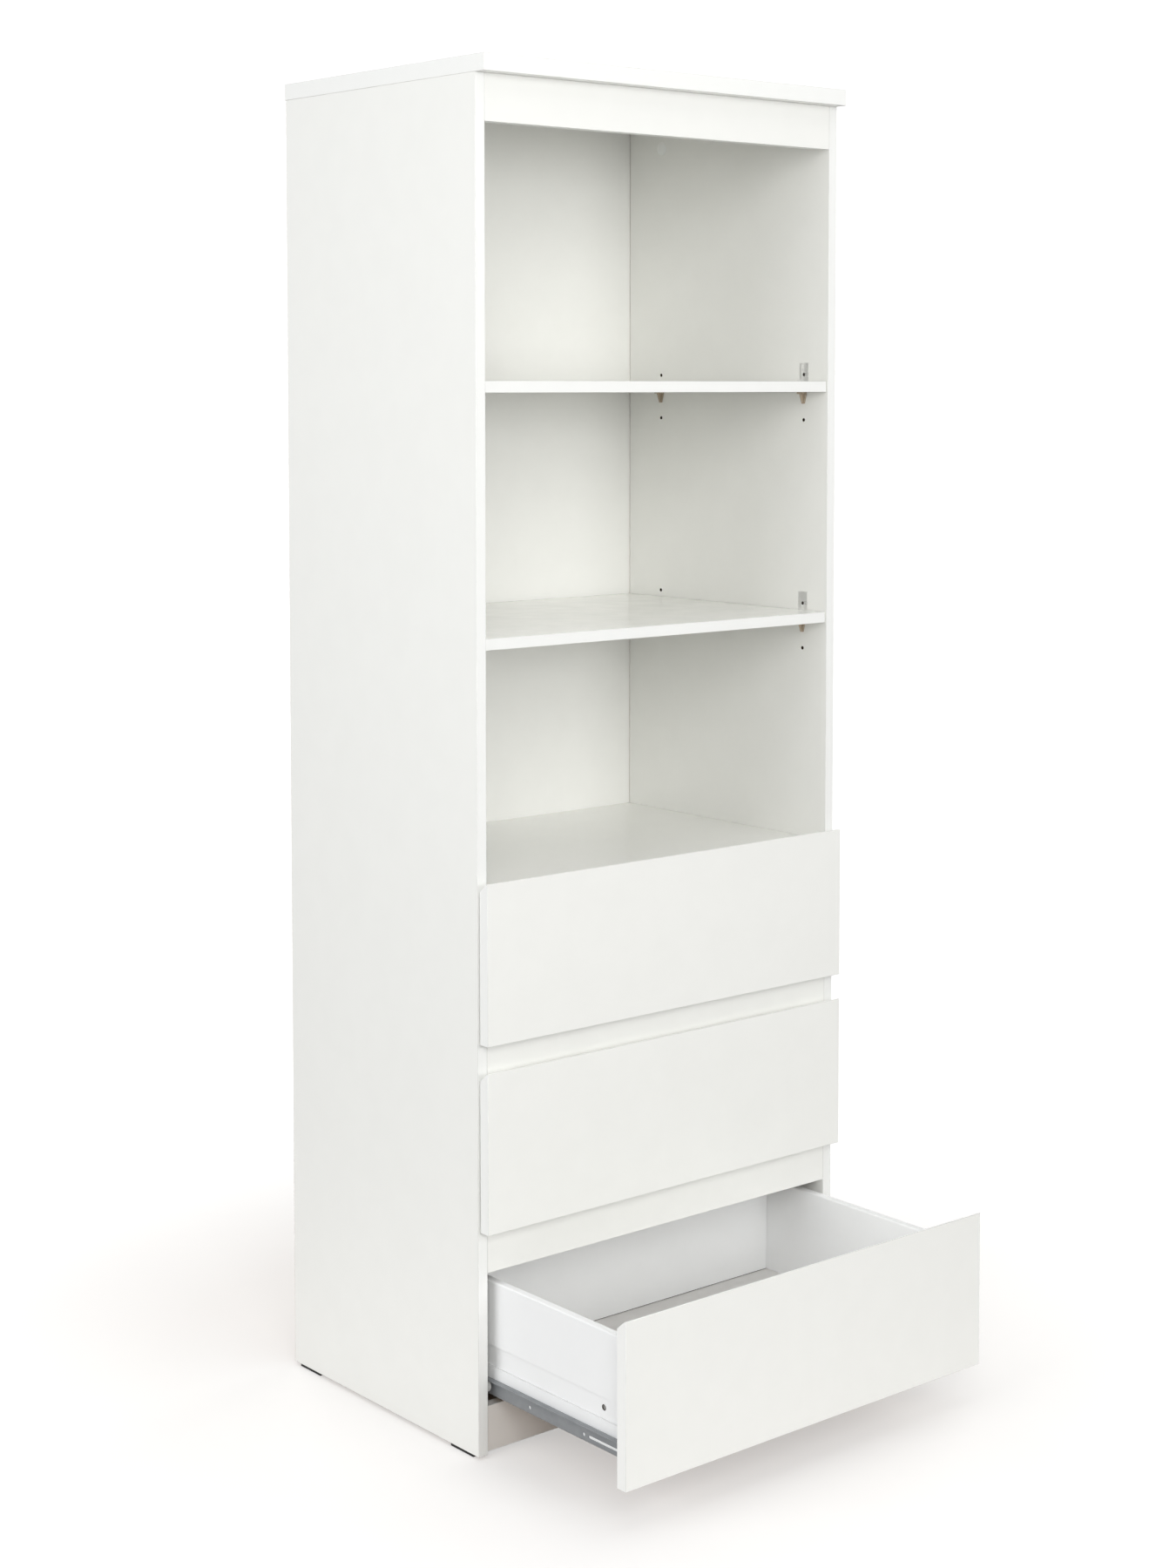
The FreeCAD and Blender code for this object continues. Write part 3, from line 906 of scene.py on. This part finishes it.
def drilledTree():
    tree, given = startTree("drilledBoards", drilledSize)
    low, high = given["Low corner"], given["High corner"]
    middle = arrows(tree, "MULTIPLY", arrows(tree, "ADD", high, low), (0.5, 0.5, 0.5))
    board = block(tree, arrows(tree, "SUBTRACT", high, low), middle)
    row = put(tree, "GeometryNodeMeshLine",
              {"Count": given["Holes in a row"], "Offset": spot(tree, z=given["Pitch"])}, mode="OFFSET")
    rows = put(tree, "GeometryNodeInstanceOnPoints",
               {"Points": given["Geometry"], "Selection": isKind(tree, rowStart), "Instance": row})
    jobs = [(realized(tree, rows), True, "Hole")]
    jobs += [(given["Geometry"], isKind(tree, kind), label) for label, kind in singleBores.items()]
    tools = []
    for points, chosen, label in jobs:
        drill = cylinder(tree, given[label + " radius"], times(tree, given[label + " depth"], 2.0))
        tools.append(realized(tree, onPoints(tree, points, drill, chosen=chosen)))
    return endTree(tree, given, cutAway(tree, board, tools))


drillBoard = drilledTree()


def drilledMesh(node, points):
    low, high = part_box(node)
    board = grow(node + "_drilled", drillBoard, pointMesh(node, points),
                 {"Low corner": tuple(low), "High corner": tuple(high), "Material": whiteBoard})
    mesh = board.data
    bpy.data.objects.remove(board)
    return mesh


def easeRearEdge(mesh, face, rear, easing=0.001):
    # the upright edge against the back sheet, so that the two meet in a fine dark line
    work = joinedCopy(mesh)
    edges = [edge for edge in work.edges if all(abs(v.co.x - face) < tolerance["onEdge"]
                                                and abs(v.co.y - rear) < tolerance["onEdge"]
                                                for v in edge.verts)]
    bmesh.ops.bevel(work, geom=edges, offset=easing, segments=1, affect="EDGES")
    work.to_mesh(mesh)
    work.free()
    return mesh


for word, side in sides:
    node = word + "_side_panel"
    low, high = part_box(node)
    inward, face = (-side, 0, 0), innerFace(word)
    firstHoles = [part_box(shelf)[0].z - fixings["holeDrop"] - drilledSize["Pitch"]
                  for shelf in ("lower_shelf", "upper_shelf")]
    points = [((face, y, z), inward, rowStart) for y in columnSpots for z in firstHoles]
    for y in columnSpots:
        points.append(((face, y, high.z - fixings["camInset"]), inward, singleBores["Cam bore"]))
        points.append((((low.x + high.x) / 2, y, high.z), (0, 0, 1), singleBores["End bore"]))
    points += [(endOf(board, side), inward, singleBores["Dowel bore"])
               for board in ("top_rail", "front_plinth", "rear_plinth")]
    points += [(endOf(board, side), inward, singleBores["Bolt bore"]) for board in drawerRails]
    points += [((face, y, endOf("fixed_shelf", side).z), inward, singleBores["Bolt bore"])
               for y in boltSpots]
    dressBoard(node, {**panelLook, "bareSides": ("+Y", "-Z")},
               easeRearEdge(drilledMesh(node, points), face, high.y))

nailRows = {
    "edge": 0.0055,  # in from a sheet's long side
    "spacing": 0.12,
    "shyOfCorner": 0.02,
    "seam": 0.0038,  # in from the sheets' seam
    "top": 0.007,
    "shares": (0.16, 0.33, 0.5, 0.67, 0.84),  # of the sheet's width
}


def nailSpots(sheet):
    # down both long sides, and across behind the fixed shelf and the top rail
    low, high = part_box(sheet)
    rise = high.z - low.z - 2 * nailRows["shyOfCorner"]
    steps = round(rise / nailRows["spacing"])
    spots = [(x, high.y, low.z + nailRows["shyOfCorner"] + rise * step / steps)
             for x in (low.x + nailRows["edge"], high.x - nailRows["edge"]) for step in range(steps + 1)]
    across = {"lower_back_panel": [high.z - nailRows["seam"]],
              "upper_back_panel": [low.z + nailRows["seam"], high.z - nailRows["top"]]}[sheet]
    return spots + [(low.x + (high.x - low.x) * share, high.y, height)
                    for height in across for share in nailRows["shares"]]


nails = []
for sheet in ("lower_back_panel", "upper_back_panel"):
    spots = nailSpots(sheet)
    dressBoard(sheet, {**thinSheetLook, "drilledReach": 0.004},
               drilledMesh(sheet, [(place, (0, 1, 0), singleBores["Dimple"]) for place in spots]))
    nails += [((x, y - drilledSize["Dimple depth"], z), (0, 1, 0)) for x, y, z in spots]
print("panels drilled and back nailed")


# Cam fasteners

camSize = {
    "Radius": 0.0072,
    "Depth": 0.0117,
    "Sink": 0.0003,
    "Slot width": 0.0017,
    "Slot reach": 0.0058,
    "Cross reach": 0.0026,
    "Slot depth": 0.0035,
    "Turn": 0.4,
    "Turn spread": 0.3,
    "Seed": 11,
}


def camTree():
    tree, given = startTree("slottedCams", camSize)
    face = times(tree, given["Sink"], -1.0)
    centre = sums(tree, "SUBTRACT", face, times(tree, given["Depth"], 0.5))
    sunk = moved(tree, cylinder(tree, given["Radius"], given["Depth"], sides=32), spot(tree, z=centre))
    slot, cross, deep = (times(tree, given[label], 2.0)
                         for label in ("Slot reach", "Cross reach", "Slot depth"))
    arms = [block(tree, spot(tree, *size), spot(tree, z=face))
            for size in ((slot, given["Slot width"], deep), (given["Slot width"], cross, deep))]
    return endOnPoints(tree, given, cutAway(tree, sunk, arms), given["Turn"], given["Turn spread"],
                       given["Seed"])


# Cover caps over the top cams

capSize = {
    "Radius": 0.01,
    "Thickness": 0.001,
    "Rim drop": 0.0007,
    "Fall": 5.0,  # how late the top falls towards the rim
}


def capTree():
    tree, given = startTree("domedCaps", capSize)
    return endOnPoints(tree, given, domedDisc(tree, given["Radius"], given["Thickness"], given["Rim drop"],
                                              given["Fall"], sides=40, rings=6))


# Pins with a head at the far end: axles, bolts and nails

pinSize = {
    "Pin radius": 0.002,
    "Pin length": 0.009,
    "Head radius": 0.0032,
    "Head height": 0.0005,
    "Dome": 0.0003,
}


def pinTree():
    tree, given = startTree("headedPins", pinSize)
    pin = moved(tree, cylinder(tree, given["Pin radius"], given["Pin length"], sides=20),
                spot(tree, z=times(tree, given["Pin length"], 0.5)))
    head = moved(tree, domedDisc(tree, given["Head radius"], given["Head height"], given["Dome"]),
                 spot(tree, z=given["Pin length"]))
    return endOnPoints(tree, given, put(tree, "GeometryNodeJoinGeometry", {"Geometry": [pin, head]}))


# Crosshead screws

screwSize = {
    "Head radius": 0.0034,
    "Head height": 0.001,
    "Dome": 0.0006,
    "Recess width": 0.0009,
    "Recess reach": 0.0019,
    "Recess depth": 0.0006,
    "Turn spread": 3.1,
    "Seed": 4,
}


def screwTree():
    tree, given = startTree("crossheadScrews", screwSize)
    reach, deep = (times(tree, given[label], 2.0) for label in ("Recess reach", "Recess depth"))
    arms = [block(tree, spot(tree, *size), spot(tree, z=given["Head height"]))
            for size in ((reach, given["Recess width"], deep), (given["Recess width"], reach, deep))]
    head = domedDisc(tree, given["Head radius"], given["Head height"], given["Dome"], sides=20)
    return endOnPoints(tree, given, cutAway(tree, head, arms), 0.0, given["Turn spread"], given["Seed"])


# Rollers, moulded with a bore and a dished face

rollerSize = {
    "Radius": 0.0085,
    "Width": 0.006,
    "Bore radius": 0.00205,
    "Hub radius": 0.0036,
    "Rim width": 0.0016,
    "Dish depth": 0.0006,
    "Edge step": 0.0004,
}
boringLength = 0.02  # longer than a roller is wide


def rollerTree():
    tree, given = startTree("mouldedRollers", rollerSize)
    middle = spot(tree, z=times(tree, given["Width"], 0.5))
    inner = sums(tree, "SUBTRACT", given["Width"], times(tree, given["Edge step"], 2.0))
    slim = sums(tree, "SUBTRACT", given["Radius"], given["Edge step"])
    parts = [moved(tree, cylinder(tree, radius, width, sides=48), middle)
             for radius, width in ((given["Radius"], inner), (slim, given["Width"]))]
    wheel = put(tree, "GeometryNodeMeshBoolean", {"Mesh 2": parts}, operation="UNION", solver="EXACT")
    disc = cylinder(tree, sums(tree, "SUBTRACT", given["Radius"], given["Rim width"]),
                    times(tree, given["Dish depth"], 2.0), sides=40)
    dish = cutAway(tree, disc, cylinder(tree, given["Hub radius"], boringLength / 2))
    bore = moved(tree, cylinder(tree, given["Bore radius"], boringLength, sides=20), middle)
    tools = [bore, dish, moved(tree, dish, spot(tree, z=given["Width"]))]
    return endOnPoints(tree, given, cutAway(tree, wheel, tools))


cams, caps, pins, screws, rollers = camTree(), capTree(), pinTree(), screwTree(), rollerTree()

nailSize = {
    "Pin radius": 0.0008,
    "Pin length": 0.0001,
    "Head radius": 0.0019,
    "Head height": 0.0004,
    "Dome": 0.0002,
}

camSpots, capSpots = [], []
for word, side in sides:
    face = innerFace(word)
    reach = face - side * fixings["camInset"]
    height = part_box(word + "_side_panel")[1].z - fixings["camInset"]
    covered = [((face, y, height), (-side, 0, 0)) for y in columnSpots]
    capSpots += covered
    camSpots += covered + [((reach, y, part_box("fixed_shelf")[0].z), (0, 0, -1)) for y in boltSpots]
    camSpots += [((reach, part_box(rail)[1].y, endOf(rail, side).z), (0, 1, 0)) for rail in drawerRails]
repeated("carcass_cams", cams, camSpots, "carcass", zinc, stands=["cam_locks"])
repeated("carcass_cover_caps", caps, capSpots, "carcass", whitePlastic,
         stands=["cam_cover_caps"])
repeated("back_nails", pins, nails, "carcass", zinc, nailSize)
print("carcass fittings placed")


# Runners: sheet folded along a line and punched

foldedSize = {
    "Length": 0.35,
    "Sheet": 0.0012,
    "Bend radius": 0.0014,
    "Hole radius": 0.0025,
    "Slot length": 0.066,
    "Slot height": 0.004,
    "Notch": (0.03, 0.03, 0.03),
    "Weld": 0.00001,
}
foldLine, roundHole, slotHole, notchHole = 0, 1, 2, 3


def foldedTree():
    tree, given = startTree("foldedRunners", foldedSize)
    line = put(tree, "GeometryNodeMeshToCurve", {"Mesh": given["Geometry"]})
    bent = put(tree, "GeometryNodeFilletCurve", {"Curve": line, "Radius": given["Bend radius"], "Count": 4},
               mode="POLY")
    profile = put(tree, "GeometryNodeCurveToMesh", {"Curve": bent})
    skin = put(tree, "GeometryNodeExtrudeMesh",
               {"Mesh": profile, "Offset": spot(tree, y=1.0), "Offset Scale": given["Length"]}, mode="EDGES")
    raised = put(tree, "GeometryNodeExtrudeMesh",
                 {"Mesh": skin, "Offset Scale": given["Sheet"], "Individual": False}, mode="FACES")
    under = put(tree, "GeometryNodeFlipFaces", {"Mesh": skin})
    both = put(tree, "GeometryNodeJoinGeometry", {"Geometry": [raised, under]})
    sheet = put(tree, "GeometryNodeMergeByDistance", {"Geometry": both, "Distance": given["Weld"]})
    punchDepth = times(tree, given["Sheet"], 4.0)
    end = cylinder(tree, times(tree, given["Slot height"], 0.5), punchDepth, sides=20)
    tools = [(roundHole, cylinder(tree, given["Hole radius"], punchDepth, sides=20)),
             (notchHole, block(tree, given["Notch"])),
             (slotHole, block(tree, spot(tree, given["Slot height"], given["Slot length"], punchDepth)))]
    tools += [(slotHole, moved(tree, end, spot(tree, y=times(tree, given["Slot length"], share))))
              for share in (0.5, -0.5)]
    cutters = [realized(tree, onPoints(tree, given["Geometry"], tool, chosen=isKind(tree, kind)))
               for kind, tool in tools]
    return endTree(tree, given, cutAway(tree, sheet, cutters))


foldSheet = foldedTree()

runnerSize = {
    "sheet": foldedSize["Sheet"],
    "rearRoller": 0.008,  # radius
    "channelReach": 0.009,
    "notchLength": 0.024,
    "lip": 0.009,
    "holes": (0.091, 0.198),  # from the runner's front end
    "slotMiddle": 0.047,
    "holeRise": 0.0075,
    "stops": (0.05963, 0.34267),
    "stopHeight": 0.004,
    "stopRounding": 0.0012,
    "cabinetPin": 0.00875,
    "drawerPin": 0.00955,
    "cabinetScrews": (0.044, 0.172, 0.33),
    "cabinetScrewRise": 0.0085,
    "drawerScrews": (0.037, 0.165, 0.293),
    "drawerScrewInset": 0.0055,
    "backScrews": (0.02, 0.11),  # up the end of the drawer's side
    "backScrewInset": 0.006,
}


def foldedRunner(node, side, line, punched, extra=None):
    points = [(place, (0, 0, 1), foldLine) for place in (line if side > 0 else line[::-1])] + punched
    piece = grow(node + "_folded", foldSheet, pointMesh(node, points, [(0, 1), (1, 2), (2, 3)]),
                 {"Material": runnerSteel})
    if extra:
        work = bmesh.new()
        work.from_mesh(piece.data)
        extra(work)
        work.to_mesh(piece.data)
        work.free()
    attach(piece, bodyOf[node])
    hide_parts(node)


def addStop(work, near, far, y, floor, steps=4):
    # a tab with its free corner rounded off
    sheet, rounding = runnerSize["sheet"], runnerSize["stopRounding"]
    inward, top = math.copysign(rounding, near - far), floor + runnerSize["stopHeight"]
    turns = [math.pi / 2 * step / steps for step in range(steps + 1)]
    outline = [(near, top), (near, floor - sheet / 2), (far, floor - sheet / 2)]
    outline += [(far + inward * (1 - math.cos(turn)), top - rounding * (1 - math.sin(turn)))
                for turn in turns]
    front, back = ([work.verts.new((x, y + deep, z)) for x, z in outline] for deep in (0, sheet))
    rings = [front, back] + [(front[i - 1], front[i], back[i], back[i - 1]) for i in range(len(outline))]
    bmesh.ops.recalc_face_normals(work, faces=[work.faces.new(ring) for ring in rings])


def cabinetRunner(level, word, side):
    node = f"{level}_{word}_cabinet_runner"
    low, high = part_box(node)
    wall = innerFace(word)
    inner, lip = wall - side * runnerSize["sheet"], wall - side * runnerSize["channelReach"]
    floor, roof = low.z + runnerSize["sheet"], high.z - runnerSize["sheet"]
    line = [(lip, low.y, floor), (inner, low.y, floor), (inner, low.y, roof), (lip, low.y, roof)]
    deep, tall = foldedSize["Notch"][1:]
    notch = (inner - side * tall / 2, low.y + runnerSize["notchLength"] - deep / 2, (floor + roof) / 2)
    foldedRunner(node, side, line, [(notch, (side, 0, 0), notchHole)],
                 lambda work: [addStop(work, inner, lip, low.y + y, floor) for y in runnerSize["stops"]])
    return [((inner, low.y + y, floor + runnerSize["cabinetScrewRise"]), (-side, 0, 0))
            for y in runnerSize["cabinetScrews"]]


def drawerRunner(level, word, side):
    node = f"{level}_drawer_{word}_runner"
    low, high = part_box(node)
    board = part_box(f"{level}_drawer_{word}_side")
    face, under = (board[0].x, high.x) if side < 0 else (board[1].x, low.x)
    floor, start = low.z + runnerSize["sheet"], board[0].y
    line = [(under, start, floor), (face, start, floor), (face, start, high.z),
            (face + side * runnerSize["lip"], start, high.z)]
    height = floor + runnerSize["holeRise"]
    punched = [((face, start + y, height), (side, 0, 0), roundHole) for y in runnerSize["holes"]]
    punched.append(((face, start + runnerSize["slotMiddle"], height), (side, 0, 0), slotHole))
    foldedRunner(node, side, line, punched)
    found = [((face - side * runnerSize["drawerScrewInset"], start + y, low.z), (0, 0, -1))
             for y in runnerSize["drawerScrews"]]
    return found + [((face, board[1].y - runnerSize["backScrewInset"], board[0].z + z), (side, 0, 0))
                    for z in runnerSize["backScrews"]]


def rollerSpot(node, side, outward):
    # where the roller's near face lies, and the way the roller points from it
    low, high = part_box(node)
    middle = (low + high) / 2
    outer = high.x if side > 0 else low.x
    near = outer - side * rollerSize["Width"] if outward else outer
    return (near, middle.y, middle.z), (side if outward else -side, 0, 0)


drawerCam = {
    "setback": 0.057,
    "rise": 0.051,
    "bandDepth": 0.003,
    "screwedIn": 0.011,
    "cam": {"Radius": 0.0038, "Depth": 0.0056, "Sink": 0.0013, "Slot width": 0.0011, "Slot reach": 0.0031,
            "Cross reach": 0.0006, "Slot depth": 0.0012, "Turn": 0.8, "Turn spread": 0.0},
    "bolt": {"Pin radius": 0.0023, "Pin length": 0.063, "Head radius": 0.0025, "Head height": 0.0009},
}

for level in levels:
    drawer = level + "_drawer"
    cabinetScrews, drawerScrews, cabinetAxles, drawerAxles = [], [], [], []
    frontWheels, rearWheels, drawerCams, drawerBolts = [], [], [], []
    for word, side in sides:
        cabinetScrews += cabinetRunner(level, word, side)
        drawerScrews += drawerRunner(level, word, side)
        place, facing = rollerSpot(level + "_front_rollers", side, False)
        frontWheels.append((place, facing))
        cabinetAxles.append(((innerFace(word), *place[1:]), facing))
        place, facing = rollerSpot(drawer + "_rear_rollers", side, True)
        rearWheels.append((place, facing))
        low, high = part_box(f"{drawer}_{word}_side")
        face, inside = (low.x, high.x) if side < 0 else (high.x, low.x)
        drawerAxles.append(((face, *place[1:]), facing))
        band = face - side * drawerCam["bandDepth"]
        height = low.z + drawerCam["rise"]
        drawerCams.append(((band, low.y + drawerCam["setback"], height), (side, 0, 0)))
        drawerBolts.append((((band + inside) / 2, low.y - drawerCam["screwedIn"], height), (0, 1, 0)))
    repeated(drawer + "_cams", cams, drawerCams, drawer, zinc, drawerCam["cam"],
             [drawer + "_cam_fasteners"])
    repeated(drawer + "_bolts", pins, drawerBolts, drawer, zinc, drawerCam["bolt"],
             [drawer + "_cam_fasteners"])
    repeated(level + "_cabinet_screws", screws, cabinetScrews, "carcass", zinc)
    repeated(drawer + "_screws", screws, drawerScrews, drawer, zinc)
    repeated(level + "_cabinet_axles", pins, cabinetAxles, "carcass", runnerSteel,
             {"Pin length": runnerSize["cabinetPin"]})
    repeated(drawer + "_axles", pins, drawerAxles, drawer, runnerSteel,
             {"Pin length": runnerSize["drawerPin"]})
    repeated(level + "_front_wheels", rollers, frontWheels, level + "_front_roller_pair",
             nylon, stands=[level + "_front_rollers"])
    repeated(level + "_rear_wheels", rollers, rearWheels, level + "_rear_roller_pair", nylon,
             {"Radius": runnerSize["rearRoller"]}, [drawer + "_rear_rollers"])
print("drawers fitted with runners, rollers and screws")
